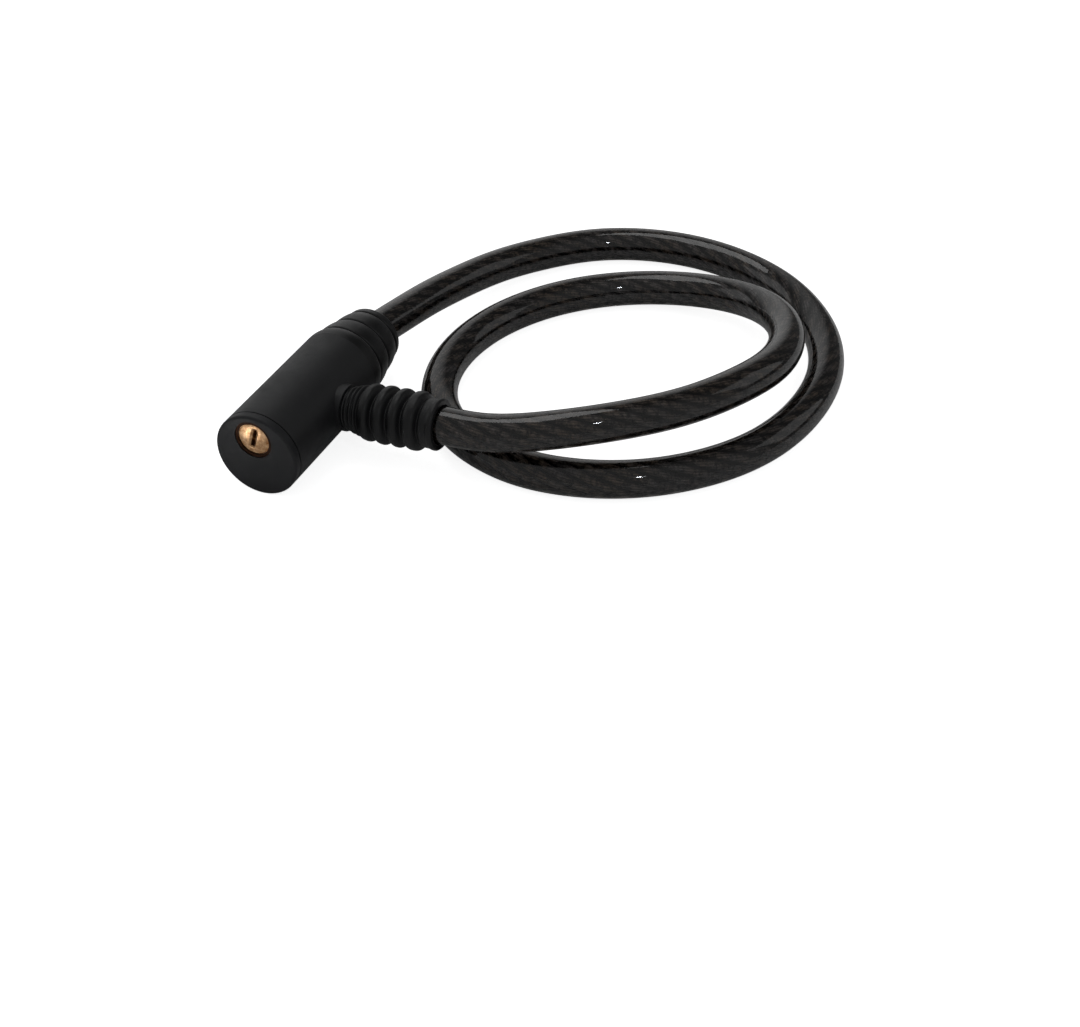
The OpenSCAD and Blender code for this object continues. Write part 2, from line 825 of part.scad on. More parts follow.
module plug_seal() {
    color([0.15, 0.15, 0.16])
        in_lock()
            along_plug(seal_s)
                rotate_extrude()
                    translate([pin_r + seat_gap, 0])
                        square([flange_d / 2 - pin_r - seat_gap, seal_t]);
}

// Outline of one rib: a slow rise, then a quick fall
function rib_outline(s, pitch, crest_r) = [
    for (k = [0:rib_steps - 1])
        [
            crest_r - rib_depth * (1 - sin(180 * pow(k / rib_steps, rib_skew))),
            s + pitch * k / rib_steps
        ]
];

module plug_boot() {
    slim_pitch = ribs_s - slim_rib_s;
    step = rib_count > 1 ? (rib_front_d - rib_back_d) / 2 / (rib_count - 1) : 0;
    edge = 0.4;
    color([0.07, 0.07, 0.08])
        in_lock()
            along_plug(0)
                rotate_extrude()
                    polygon(concat(
                        [[cable_hole_r, boot_s], [neck_d / 2, boot_s], [neck_d / 2, slim_rib_s - edge]],
                        rib_outline(slim_rib_s, slim_pitch, slim_rib_d / 2),
                        [
                            for (i = [0:rib_count - 1])
                                each rib_outline(
                                    ribs_s + i * rib_pitch, rib_pitch, rib_front_d / 2 - i * step
                                )
                        ],
                        [
                            [collar_d / 2 - edge, collar_s], [collar_d / 2, collar_s + edge],
                            [collar_d / 2, boot_end_s - edge], [collar_d / 2 - edge, boot_end_s],
                            [cable_hole_r, boot_end_s]
                        ]
                    ));
}

end_cap();
outer_sleeve();
lock_housing();
tail_boot();
cylinder_shell();
shell_pin();
latch_cover();
latch_spring();
tail_ferrule();
ferrule_pin();
cable_jacket();
wire_rope();
latch_bolt();
key_core();
tail_cam();
cam_screw();
wafer_springs();
wafer(1);  // wafer_1
wafer(2);  // wafer_2
wafer(3);  // wafer_3
wafer(4);  // wafer_4
wafer(5);  // wafer_5
plug_pin();
plug_seal();
plug_boot();
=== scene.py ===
import math

import bpy
import numpy as np
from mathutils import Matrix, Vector


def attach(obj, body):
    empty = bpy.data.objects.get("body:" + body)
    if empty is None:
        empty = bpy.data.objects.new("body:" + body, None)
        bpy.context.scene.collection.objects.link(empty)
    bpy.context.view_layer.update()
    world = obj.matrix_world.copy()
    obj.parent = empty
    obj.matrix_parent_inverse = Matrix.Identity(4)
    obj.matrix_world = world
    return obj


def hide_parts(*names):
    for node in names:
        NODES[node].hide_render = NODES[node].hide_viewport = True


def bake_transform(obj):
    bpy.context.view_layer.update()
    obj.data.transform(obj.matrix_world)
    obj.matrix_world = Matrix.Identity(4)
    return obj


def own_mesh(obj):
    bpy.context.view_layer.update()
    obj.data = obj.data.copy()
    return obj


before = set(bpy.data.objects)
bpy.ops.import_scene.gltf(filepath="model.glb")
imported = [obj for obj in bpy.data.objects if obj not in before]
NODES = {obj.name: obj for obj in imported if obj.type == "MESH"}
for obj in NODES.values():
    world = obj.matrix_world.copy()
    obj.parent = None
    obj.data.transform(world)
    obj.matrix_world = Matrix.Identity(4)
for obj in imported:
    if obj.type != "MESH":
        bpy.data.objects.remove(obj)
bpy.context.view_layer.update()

# ---- Places and sizes, in metres ----
# The middle of the barrel on the floor. Places about the lock head's own axes are measured from it
HEAD_CENTRE = np.array([0.0167218, 0.0055, 0.0])

# The barrel, which lies along Y, and its core, which sits above its axis
BARREL_R = 0.014
FACE_Y = -0.033
TAIL_Y = 0.0186
TAIL_END_Y = 0.044
CORE_UP = 0.0058

# The plug, along its own axis from the barrel's middle
PLUG_RISE = math.radians(4)
ROPE_END_S = 0.018
CUP_END_S = 0.030
PLUG_MIDDLE_S = 0.0385
BOOT_END_S = 0.047
LEAD_OUT = 0.012

# The cable: the jacket, the rope in it and its fixed end in the barrel
CABLE_R = 0.006
ROPE_R = 0.0038
CRIMPED_R = 0.0032
CRIMP_LENGTH = 0.015
CRIMP_FADE = 0.006
FERRULE_Y = 0.012
FERRULE_END_Y = 0.02604
TAIL_MIDDLE_Y = 0.035

# The cable's route between its two ends, the same points as the solid's
FREE_ROUTE = [
    (0.0015, 0.0575, 0.013), (0.0041, 0.075, 0.0113), (0.0084, 0.094, 0.0093),
    (0.015, 0.1125, 0.0077), (0.0255, 0.1295, 0.0065), (0.04, 0.1435, 0.0061),
    (0.058, 0.1515, 0.0061), (0.078, 0.1535, 0.0061), (0.097, 0.1495, 0.0061),
    (0.114, 0.1405, 0.0061), (0.128, 0.127, 0.0061), (0.138, 0.111, 0.0061),
    (0.1435, 0.0935, 0.0061), (0.1445, 0.075, 0.0061), (0.1415, 0.0565, 0.0061),
    (0.1345, 0.0395, 0.0061), (0.1235, 0.025, 0.0061), (0.1085, 0.013, 0.0061),
    (0.091, 0.0055, 0.0061), (0.0715, 0.0035, 0.0061), (0.0525, 0.009, 0.0061),
    (0.0365, 0.0215, 0.0061), (0.0275, 0.0395, 0.0061), (0.0255, 0.0595, 0.0061),
    (0.0295, 0.079, 0.0061), (0.039, 0.097, 0.0061), (0.054, 0.1125, 0.0061),
    (0.073, 0.122, 0.0068), (0.0955, 0.123, 0.0093), (0.1155, 0.1135, 0.0133),
    (0.1285, 0.095, 0.0172), (0.132, 0.072, 0.0201), (0.126, 0.05, 0.0222),
    (0.1145, 0.031, 0.023), (0.099, 0.0155, 0.0232), (0.0805, 0.0045, 0.0216),
]
# The cable is made in three lengths, cut at the two sides of the loop: the plug, drawn out, bends
# the last one with it and pushes the middle one, which lies below it, out of its way
RIGHT_CUT = (0.1445, 0.075, 0.0061)
LEFT_CUT = (0.0285, 0.075, 0.0061)

# Camera, fitted to the photograph's 1080 x 1027 frame
CAMERA_AT = (0.22987, -0.394, 0.3184)
CAMERA_LOOK = (0.06677, -0.014, 0.0)
CAMERA_LENS = 57.18
CAMERA_CLIP = (0.01, 20)
SENSOR = 36.0


def placed(points):
    """Points about the lock head's own axes, moved into the row frame."""
    return np.asarray(points, float) - HEAD_CENTRE


def plug_point(s):
    """The point at distance s along the plug's axis, about the head's own axes."""
    return (s * math.cos(PLUG_RISE), 0.0, BARREL_R + s * math.sin(PLUG_RISE))


# ---- Node trees ----
class Nodes:
    """A node tree, with short ways to add and join nodes."""

    def __init__(self, tree):
        self.tree = tree

    def node(self, kind, **values):
        made = self.tree.nodes.new("ShaderNode" + kind)
        for name, value in values.items():
            setattr(made, name, value)
        return made

    def join(self, source, target):
        self.tree.links.new(source, target)

    def span(self, value, low, high, to_low=0.0, to_high=1.0, soft=False):
        """Maps low to to_low and high to to_high, and stops there."""
        made = self.node("MapRange", interpolation_type="SMOOTHSTEP" if soft else "LINEAR")
        for name, number in (
            ("From Min", low), ("From Max", high), ("To Min", to_low), ("To Max", to_high),
        ):
            made.inputs[name].default_value = number
        self.join(value, made.inputs["Value"])
        return made.outputs["Result"]

    def math(self, operation, a, b=None):
        made = self.node("Math", operation=operation)
        for index, value in enumerate((a, b)):
            if hasattr(value, "links"):
                self.join(value, made.inputs[index])
            elif value is not None:
                made.inputs[index].default_value = value
        return made.outputs["Value"]


class Shader(Nodes):
    """A material's node tree around its Principled shader."""

    def __init__(self, name):
        self.material = bpy.data.materials.new(name)
        self.material.use_nodes = True
        super().__init__(self.material.node_tree)
        self.base = self.tree.nodes["Principled BSDF"]
        self.output = self.tree.nodes["Material Output"]
        self.place = self.node("TexCoord").outputs["Object"]

    def put(self, **values):
        names = {
            "color": "Base Color", "rough": "Roughness", "metal": "Metallic", "ior": "IOR",
            "clear": "Transmission Weight", "specular": "Specular IOR Level",
            "anisotropic": "Anisotropic",
        }
        for name, value in values.items():
            socket = self.base.inputs[names[name]]
            if hasattr(value, "links"):
                self.join(value, socket)
            else:
                socket.default_value = (*value, 1) if name == "color" else value

    def noise(self, scale, detail=4.0, rough=0.55, place=None):
        made = self.node("TexNoise")
        made.inputs["Scale"].default_value = scale
        made.inputs["Detail"].default_value = detail
        made.inputs["Roughness"].default_value = rough
        self.join(place or self.place, made.inputs["Vector"])
        return made.outputs["Fac"]

    def stretched(self, factors):
        made = self.node("Mapping")
        made.inputs["Scale"].default_value = factors
        self.join(self.place, made.inputs["Vector"])
        return made.outputs["Vector"]

    def mix(self, factor, low, high):
        made = self.node("Mix", data_type="RGBA")
        self.join(factor, made.inputs["Factor"])
        for socket, value in ((made.inputs[6], low), (made.inputs[7], high)):
            if hasattr(value, "links"):
                self.join(value, socket)
            else:
                socket.default_value = (*value, 1)
        return made.outputs[2]

    def bump(self, height, distance, strength, under=None):
        made = self.node("Bump")
        made.inputs["Strength"].default_value = strength
        made.inputs["Distance"].default_value = distance
        self.join(height, made.inputs["Height"])
        if under is not None:
            self.join(under, made.inputs["Normal"])
        return made.outputs["Normal"]

    def normal(self, source):
        self.join(source, self.base.inputs["Normal"])


# ---- Camera and light ----
def aim(obj, target):
    direction = Vector(target) - obj.location
    obj.rotation_euler = direction.to_track_quat("-Z", "Y").to_euler()


def make_camera():
    data = bpy.data.cameras.new("camera")
    data.sensor_fit = "HORIZONTAL"
    data.sensor_width = SENSOR
    data.lens = CAMERA_LENS
    data.clip_start, data.clip_end = CAMERA_CLIP
    camera = bpy.data.objects.new("camera", data)
    camera.location = CAMERA_AT
    bpy.context.scene.collection.objects.link(camera)
    aim(camera, CAMERA_LOOK)
    bpy.context.scene.camera = camera


# The soft boxes: name, place, width and power in watts. All of them look at the loop's middle
SOFT_BOXES = (
    ("overhead", (-0.40, 0.39, 1.28), 0.8, 3.8),
    ("left", (-1.5, -0.1, 0.7), 1.0, 1.6),
    ("right", (1.4, 0.9, 0.8), 1.0, 1.6),
)
SOFT_BOX_LOOK = (0.05, 0.05, 0.0)

# A narrow lamp straight above the floor before the core, whose face mirrors the pool of light
GLINT_AT = (-0.0425, -0.075, 0.5)
GLINT_ANGLE = math.radians(2.6)
GLINT_R = 0.004
GLINT_POWER = 85

# A small bare lamp, which makes the bright dots on the jacket
SPARK_AT = (0.58, -0.55, 0.72)
SPARK_R = 0.02
SPARK_POWER = 1.6
SPARK_COLOR = (0.9, 0.94, 1.0)

# The studio's walls: how bright they are before the object and behind it, and where they change
WALLS = (0.37, 0.11)
WALLS_CHANGE = (-0.1, 0.5)

# A soft window in the wall behind: its direction, the cosines of its edge and middle, its glow
WINDOW_WAY = (-0.58, 0.77, 0.26)
WINDOW_SPAN = (0.8, 0.99)
WINDOW_GLOW = 0.62


def add_light(name, kind, at, power):
    data = bpy.data.lights.new(name, kind)
    data.energy = power
    light = bpy.data.objects.new(name, data)
    light.location = at
    light.visible_camera = False
    bpy.context.scene.collection.objects.link(light)
    return light


def make_lights():
    for name, at, size, power in SOFT_BOXES:
        light = add_light(name, "AREA", at, power)
        light.data.shape = "RECTANGLE"
        light.data.size = light.data.size_y = size
        aim(light, SOFT_BOX_LOOK)
    glint = add_light("glint", "SPOT", GLINT_AT, GLINT_POWER)
    glint.data.spot_size = GLINT_ANGLE
    glint.data.spot_blend = 1.0
    glint.data.shadow_soft_size = GLINT_R
    spark = add_light("spark", "POINT", SPARK_AT, SPARK_POWER)
    spark.data.shadow_soft_size = SPARK_R
    spark.data.color = SPARK_COLOR


def make_world():
    """Pale walls, darker behind the object, with a soft window there. The camera sees white."""
    world = bpy.data.worlds.new("studio")
    bpy.context.scene.world = world
    world.use_nodes = True
    w = Nodes(world.node_tree)
    way = w.node("TexCoord").outputs["Generated"]
    parts = w.node("SeparateXYZ")
    w.join(way, parts.inputs["Vector"])
    toward = w.node("VectorMath", operation="DOT_PRODUCT")
    w.join(way, toward.inputs[0])
    toward.inputs[1].default_value = WINDOW_WAY
    walls = w.span(parts.outputs["Y"], *WALLS_CHANGE, *WALLS, soft=True)
    window = w.span(toward.outputs["Value"], *WINDOW_SPAN, 0, WINDOW_GLOW, soft=True)
    seen = w.node("LightPath").outputs["Is Camera Ray"]
    ground = w.tree.nodes["Background"]
    ground.inputs["Color"].default_value = (1, 1, 1, 1)
    w.join(w.math("MAXIMUM", w.math("ADD", walls, window), seen), ground.inputs["Strength"])


# ---- Materials ----
# Colours are linear red, green and blue, and heights and depths are in metres
RUB_MARKS = 0.35
PEBBLE = 0.00004
TARNISH = 0.4
BRASS_BROWNED = (0.27, 0.11, 0.035)
BRASS_WORN = (0.84, 0.57, 0.33)
SMOKE = (0.062, 0.057, 0.054)
STEEL_WARM = (0.85, 0.7, 0.56)
STEEL_COLD = (0.72, 0.7, 0.72)
# Painted shade: the near-black colour put between the rope's strands
STRAND_GAP_SHADE = (0.004, 0.004, 0.004)

# The rope: strands round its middle one, wires in a strand, wires that a line along a metre of
# rope crosses, and the length in which the strands go round once. A minus sign turns them left
STRANDS = 6
STRAND_WIRES = 8
WIRE_TURNS = -336.0
ROPE_LAY = -0.047


def rubber(name, dark, pale, rough=(0.42, 0.6)):
    """Matte moulded black rubber: fine pebble, cloudy gloss, faint rub marks."""
    s = Shader(name)
    cloud = s.noise(scale=130, detail=5)
    rub = s.noise(scale=60, detail=8, rough=0.7, place=s.stretched((1, 6, 1)))
    marks = s.span(rub, 0.58, 0.8, 0, RUB_MARKS)
    cloudy = s.span(cloud, 0.35, 0.7, 0, 0.5)
    s.put(color=s.mix(s.math("MAXIMUM", cloudy, marks), dark, pale))
    dulled = s.math("MULTIPLY", marks, 0.2)
    s.put(rough=s.math("ADD", s.span(cloud, 0.3, 0.7, *rough), dulled))
    s.put(specular=0.28)
    pebble = s.noise(scale=5200, detail=3)
    waves = s.noise(scale=420, detail=2)
    s.normal(s.bump(pebble, PEBBLE, 0.8, s.bump(waves, PEBBLE * 2, 0.5)))
    return s.material


def metal(name, color, pale, rough, grain=(1, 1, 1), bump=0.00001):
    """Bare machined or cast metal: tool marks along one way, dulled in patches."""
    s = Shader(name)
    patch = s.noise(scale=300, detail=6, rough=0.6)
    lines = s.noise(scale=2500, detail=4, rough=0.6, place=s.stretched(grain))
    s.put(color=s.mix(s.span(patch, 0.35, 0.75, 0, TARNISH), pale, color))
    s.put(metal=1.0)
    streaks = s.span(lines, 0.3, 0.7, -0.04, 0.06)
    s.put(rough=s.math("ADD", s.span(patch, 0.3, 0.75, *rough), streaks))
    s.normal(s.bump(lines, bump, 0.7))
    return s.material


def turned_brass():
    """The core's brass: faced off on a lathe, worn bright and browned in between."""
    s = Shader("core_brass")
    patch = s.noise(scale=420, detail=6, rough=0.65)
    specks = s.noise(scale=1500, detail=4, rough=0.6)
    worn = s.math("MULTIPLY", s.span(patch, 0.32, 0.7), s.span(specks, 0.25, 0.6, 0.55, 1))
    s.put(color=s.mix(worn, BRASS_BROWNED, BRASS_WORN))
    s.put(metal=1.0, rough=s.span(patch, 0.3, 0.75, 0.3, 0.18), anisotropic=0.25)
    rings = s.node("Tangent", direction_type="RADIAL", axis="Y")
    s.join(rings.outputs["Tangent"], s.base.inputs["Tangent"])
    s.normal(s.bump(specks, 0.00004, 0.9, s.bump(patch, 0.00012, 0.8)))
    return s.material


def lit_through(s, tint):
    """Lets lamps shine through a clear shell, so that what is under it is lit."""
    path = s.node("LightPath")
    film = s.node("BsdfTransparent")
    film.inputs["Color"].default_value = (*tint, 1)
    blend = s.node("MixShader")
    s.join(path.outputs["Is Shadow Ray"], blend.inputs[0])
    s.join(s.base.outputs["BSDF"], blend.inputs[1])
    s.join(film.outputs["BSDF"], blend.inputs[2])
    s.join(blend.outputs["Shader"], s.output.inputs["Surface"])


def vinyl():
    """Clear smoke-grey vinyl, glossy, with extrusion ripple and handling haze."""
    s = Shader("smoke_vinyl")
    haze = s.noise(scale=160, detail=6, rough=0.6)
    s.put(color=SMOKE, clear=1.0, ior=1.5, specular=0.22)
    s.put(rough=s.span(haze, 0.35, 0.75, 0.03, 0.1))
    ripple = s.noise(scale=110, detail=3)
    fine = s.noise(scale=1400, detail=3)
    s.normal(s.bump(fine, 0.00001, 0.5, s.bump(ripple, 0.00016, 0.6)))
    lit_through(s, np.sqrt(SMOKE))
    return s.material


def strand_steel():
    """Drawn steel wires laid into strands, with painted shade: the steel's colour stays on their
    crests, and the sides between them are painted near black.
    """
    s = Shader("rope_steel")
    lay = s.node("UVMap", uv_map="lay").outputs["UV"]
    parts = s.node("SeparateXYZ")
    s.join(lay, parts.inputs["Vector"])
    along, around = parts.outputs["X"], parts.outputs["Y"]
    around_wires = s.math("MULTIPLY", around, STRAND_WIRES)
    turn = s.math("ADD", around_wires, s.math("MULTIPLY", along, WIRE_TURNS))
    wave = s.math("ABSOLUTE", s.math("SINE", s.math("MULTIPLY", turn, math.pi)))
    dirt = s.noise(scale=500, detail=5, rough=0.6)
    # Painted shade: the colour fades to near black down each strand's sides, where the strands
    # meet, and stays steel on its crest
    outward = s.math("COSINE", s.math("MULTIPLY", around, 2 * math.pi))
    painted_crest_light = s.span(outward, 0.1, 0.95, 0.0, 1)
    clean = s.span(dirt, 0.36, 0.6, 0.12, 1.2)
    bright = s.math("MULTIPLY", s.span(wave, 0.1, 0.8, 0.45, 1), clean)
    steel = s.mix(s.span(s.noise(scale=90, detail=3), 0.38, 0.62), STEEL_WARM, STEEL_COLD)
    s.put(color=s.mix(s.math("MULTIPLY", painted_crest_light, bright), STRAND_GAP_SHADE, steel))
    s.put(metal=0.85, rough=s.span(dirt, 0.3, 0.7, 0.28, 0.5))
    s.normal(s.bump(wave, 0.00018, 1.0))
    return s.material


def make_materials():
    """The look of each slot, by the slot's name."""
    return {
        "soft_black": rubber("soft_black", (0.0116, 0.0119, 0.0129), (0.0185, 0.0189, 0.0202)),
        "cap_black": rubber("cap_black", (0.008, 0.0083, 0.0096), (0.0165, 0.017, 0.0198)),
        "boot_black": rubber(
            "boot_black", (0.0036, 0.0037, 0.0041), (0.0105, 0.0108, 0.0118), (0.3, 0.46),
        ),
        "smoke_vinyl": vinyl(),
        "rope_steel": strand_steel(),
        "seal_rubber": rubber("seal_rubber", (0.012, 0.012, 0.013), (0.03, 0.03, 0.032)),
        "die_cast": metal(
            "die_cast", (0.42, 0.42, 0.43), (0.6, 0.6, 0.61), (0.38, 0.55), bump=0.00003,
        ),
        "core_brass": turned_brass(),
        "shell_brass": metal(
            "shell_brass", (0.012, 0.005, 0.003), (0.03, 0.013, 0.007), (0.4, 0.6),
        ),
        "wafer_brass": metal(
            "wafer_brass", (0.62, 0.44, 0.18), (0.83, 0.66, 0.33), (0.25, 0.4),
        ),
        "hard_steel": metal(
            "hard_steel", (0.5, 0.51, 0.53), (0.68, 0.69, 0.71), (0.16, 0.3), grain=(1, 8, 1),
        ),
        "spring_steel": metal(
            "spring_steel", (0.4, 0.41, 0.43), (0.62, 0.63, 0.65), (0.2, 0.32),
        ),
    }


# ---- Mesh helpers ----
def unit(ways):
    return ways / np.linalg.norm(ways, axis=-1, keepdims=True)


def distances(points):
    """How far along a line each of its points lies."""
    return np.concatenate([[0], np.cumsum(np.linalg.norm(np.diff(points, axis=0), axis=1))])


def mesh_piece(name, points, faces, material, normals=None):
    mesh = bpy.data.meshes.new(name)
    mesh.from_pydata([tuple(map(float, p)) for p in points], [], faces)
    mesh.materials.append(material)
    mesh.polygons.foreach_set("use_smooth", [True] * len(mesh.polygons))
    mesh.update()
    if normals is not None:
        mesh.normals_split_custom_set_from_vertices([tuple(map(float, n)) for n in normals])
    piece = bpy.data.objects.new(name, mesh)
    bpy.context.scene.collection.objects.link(piece)
    return piece


def smooth_line(points, step):
    """A cubic spline through points, as points a step apart."""
    p = np.asarray(points, float)
    t = distances(p)
    n, h = len(p), np.diff(t)
    a, b = np.zeros((n, n)), np.zeros((n, 3))
    a[0, 0] = a[-1, -1] = 1
    for i in range(1, n - 1):
        a[i, i - 1:i + 2] = h[i - 1], 2 * (h[i - 1] + h[i]), h[i]
        b[i] = 6 * ((p[i + 1] - p[i]) / h[i] - (p[i] - p[i - 1]) / h[i - 1])
    m = np.linalg.solve(a, b)
    u = np.linspace(0, t[-1], int(t[-1] / step) + 1)
    k = np.clip(np.searchsorted(t, u, side="right") - 1, 0, n - 2)
    left, right = (t[k + 1] - u)[:, None], (u - t[k])[:, None]
    hk = h[k][:, None]
    return (
        m[k] * left ** 3 / (6 * hk) + m[k + 1] * right ** 3 / (6 * hk)
        + (p[k] / hk - m[k] * hk / 6) * left + (p[k + 1] / hk - m[k + 1] * hk / 6) * right
    )


def ways_across(line):
    """At each point of a line, two ways square to it and to each other, that don't twist."""
    ahead = unit(np.gradient(line, axis=0))
    side = np.zeros_like(line)
    side[0] = unit(np.cross(ahead[0], (0, 0, 1)))
    for i in range(1, len(line)):
        side[i] = unit(side[i - 1] - ahead[i] * (side[i - 1] @ ahead[i]))
    return side, np.cross(side, ahead)


def spokes(side, up, count):
    """At each point of a line, directions all the way round it."""
    turn = np.linspace(0, 2 * math.pi, count, endpoint=False)[None, :, None]
    return side[:, None] * np.cos(turn) + up[:, None] * np.sin(turn)


def ring_faces(rings, sides, start=0, closed=False):
    """Four-sided faces between rings of points, and from the last to the first where closed."""
    faces = []
    for i in range(rings if closed else rings - 1):
        a, b = start + i * sides, start + (i + 1) % rings * sides
        faces += [(a + k, b + k, b + (k + 1) % sides, a + (k + 1) % sides) for k in range(sides)]
    return faces


# ---- The cable ----
CABLE_STEP = 0.0015
JACKET_SIDES = 40
STRAND_SIDES = 14
# The jacket's bore is hidden in the rope, so that the vinyl lies on the strands without a gap
BORE_R = 0.0017


def cable_line():
    fixed = [(0, y, BARREL_R) for y in (FERRULE_Y, FERRULE_END_Y, TAIL_MIDDLE_Y, TAIL_END_Y)]
    plug = [
        plug_point(s)
        for s in (BOOT_END_S + LEAD_OUT, BOOT_END_S, PLUG_MIDDLE_S, CUP_END_S, ROPE_END_S)
    ]
    line = smooth_line(placed(fixed + FREE_ROUTE + plug), CABLE_STEP)
    line[:, 2] = np.maximum(line[:, 2], CABLE_R)
    return line


def nearest(line, point):
    return int(np.argmin(np.linalg.norm(line - placed(point), axis=1)))


def jacket_piece(name, line, side, up, material, closed_end):
    """The vinyl tube round the rope. An end where the next length goes on stays open."""
    out = spokes(side, up, JACKET_SIDES)
    skin = (line[:, None] + CABLE_R * out).reshape(-1, 3)
    bore = (line[:, None] + BORE_R * out).reshape(-1, 3)
    wall = ring_faces(len(line), JACKET_SIDES)
    inner = [tuple(reversed(f)) for f in ring_faces(len(line), JACKET_SIDES, len(skin))]
    cap = []
    if closed_end is not None:
        end = closed_end % len(line)
        for k in range(JACKET_SIDES):
            a, b = end * JACKET_SIDES + k, end * JACKET_SIDES + (k + 1) % JACKET_SIDES
            c, d = a + len(skin), b + len(skin)
            cap.append((a, b, d, c) if end == 0 else (a, c, d, b))
    normals = np.concatenate([out.reshape(-1, 3), -out.reshape(-1, 3)])
    return mesh_piece(name, np.concatenate([skin, bore]), wall + inner + cap, material, normals)


def rope_radius(step):
    """The rope's radius at each place along it: full, but squeezed where its ends are crimped."""
    from_end = np.minimum(step, step[-1] - step)
    swell = np.clip((from_end - CRIMP_LENGTH) / CRIMP_FADE, 0, 1)
    return CRIMPED_R + (ROPE_R - CRIMPED_R) * swell


def rope_piece(name, line, side, up, along, radius, material):
    """Six strands laid round a middle one, each a third of the rope across."""
    strand_r = radius[:, None] / 3
    points, faces, normals = [], [], []
    for strand in range(STRANDS + 1):
        middle, toward = line, side
        if strand < STRANDS:
            angle = 2 * math.pi * (strand / STRANDS + along / ROPE_LAY)
            toward = side * np.cos(angle)[:, None] + up * np.sin(angle)[:, None]
            middle = line + (radius[:, None] - strand_r) * toward
        ahead = unit(np.gradient(middle, axis=0))
        outward = unit(toward - ahead * np.sum(toward * ahead, axis=1)[:, None])
        out = spokes(outward, np.cross(outward, ahead), STRAND_SIDES)
        points.append((middle[:, None] + strand_r[:, None] * out).reshape(-1, 3))
        faces += ring_faces(len(line), STRAND_SIDES, strand * len(line) * STRAND_SIDES)
        normals.append(out.reshape(-1, 3))
    piece = mesh_piece(name, np.concatenate(points), faces, material, np.concatenate(normals))
    map_lay(piece, along)
    return piece


def map_lay(piece, along):
    """Keeps, as a map, how far along the rope and round its strand each corner lies."""
    layer = piece.data.uv_layers.new(name="lay")
    values = []
    for face in piece.data.polygons:
        wrap = any(v % STRAND_SIDES == STRAND_SIDES - 1 for v in face.vertices)
        for v in face.vertices:
            ring, k = v // STRAND_SIDES % len(along), v % STRAND_SIDES
            values += [along[ring], (1.0 if wrap and k == 0 else k / STRAND_SIDES)]
    layer.data.foreach_set("uv", values)


def make_cable(materials):
    line = cable_line()
    side, up = ways_across(line)
    right, left = nearest(line, RIGHT_CUT), nearest(line, LEFT_CUT)
    jacket_from = nearest(line, (0, FERRULE_END_Y, BARREL_R))
    jacket_to = nearest(line, plug_point(CUP_END_S))
    step = distances(line)
    lengths = (
        ("fixed", jacket_from, right, 0, placed((0, TAIL_END_Y, BARREL_R))),
        ("front", right, left, None, line[right]),
        ("free", left, jacket_to, -1, placed(plug_point(BOOT_END_S))),
    )
    for name, first, last, closed_end, exit_at in lengths:
        part = slice(first, last + 1)
        jacket = jacket_piece(
            "cable_jacket_" + name, line[part], side[part], up[part],
            materials["smoke_vinyl"], closed_end,
        )
        whole = slice(0 if name == "fixed" else first, None if name == "free" else last + 1)
        rope = rope_piece(
            "wire_rope_" + name, line[whole], side[whole], up[whole], step[whole],
            rope_radius(step)[whole], materials["rope_steel"],
        )
        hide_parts("cable_jacket")
        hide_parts("wire_rope")
        for piece in (jacket, rope):
            hold_cable(piece, name)


def hold_cable(piece, name):
    """Bakes the free length's place into its mesh and leaves it on its own; fixes the other two to
    the lock body, the front one on a mesh of its own.
    """
    if name == "free":
        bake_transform(piece)
        return
    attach(piece, "lock_body")
    if name == "front":
        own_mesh(piece)


# ---- The two boots ----
BOOT_SIDES = 96
PROFILE_STEP = 0.00014
SMOOTH_OVER = 5
BORE_GAP = 0.00005
PLUG_BORE_R = 0.0063

# Along the plug's axis: the boot's outer line as place and radius, its grooves as place, depth and
# width, and the big ribs between them, each from its start to its end
PLUG_COVER_S = 0.0134
PLUG_LINE = [
    (PLUG_COVER_S, 0.00645), (0.0149, 0.00645), (0.0151, 0.0070), (0.0171, 0.0073),
    (0.0182, 0.0078), (0.0194, 0.0082), (0.0207, 0.0085), (0.0218, 0.0087), (0.0245, 0.0088),
    (0.0268, 0.00895), (0.0406, 0.00895), (0.0413, 0.0087), (0.0417, 0.0078), (0.0421, 0.0078),
    (0.0448, 0.0079), (0.0456, 0.0082), (0.0466, 0.0082), (BOOT_END_S, 0.0076),
]
PLUG_GROOVES = [
    (0.0156, 0.0006, 0.0004), (0.0173, 0.0007, 0.00045), (0.0191, 0.0009, 0.0005),
    (0.0209, 0.0011, 0.0006), (0.0258, 0.0016, 0.001), (0.031, 0.0016, 0.001),
    (0.0362, 0.0016, 0.001), (0.0416, 0.0008, 0.0006),
]
PLUG_RIBS = ((0.0209, 0.0258), (0.0258, 0.031), (0.031, 0.0362), (0.0362, 0.0414))
PLUG_CROWN = 0.00042

# Along the barrel: the tail boot's cone with its round edge, its three grooves, again as place,
# depth and width, and the rings between them
TAIL_STRAIGHT = 0.0009
TAIL_END_R = 0.0101
TAIL_EDGE = 0.0016
EDGE_STEPS = 14
GROOVE_FROM = 0.0057
GROOVE_APART = 0.0079
TAIL_GROOVES = [(TAIL_Y + GROOVE_FROM + k * GROOVE_APART, 0.0008, 0.00045) for k in range(3)]
RINGS_FROM = 0.0004
TAIL_CROWN = 0.00028


def groove_depth(along, grooves):
    return sum(depth * np.exp(-((along - at) / width) ** 2) for at, depth, width in grooves)


def crowned(along, spans, height):
    """The swell of each ring between two grooves, fullest past its middle."""
    swell = np.zeros_like(along)
    for first, last in spans:
        part = np.clip((along - first) / (last - first), 0, 1)
        swell += height * np.sin(math.pi * part ** 1.25)
    return swell


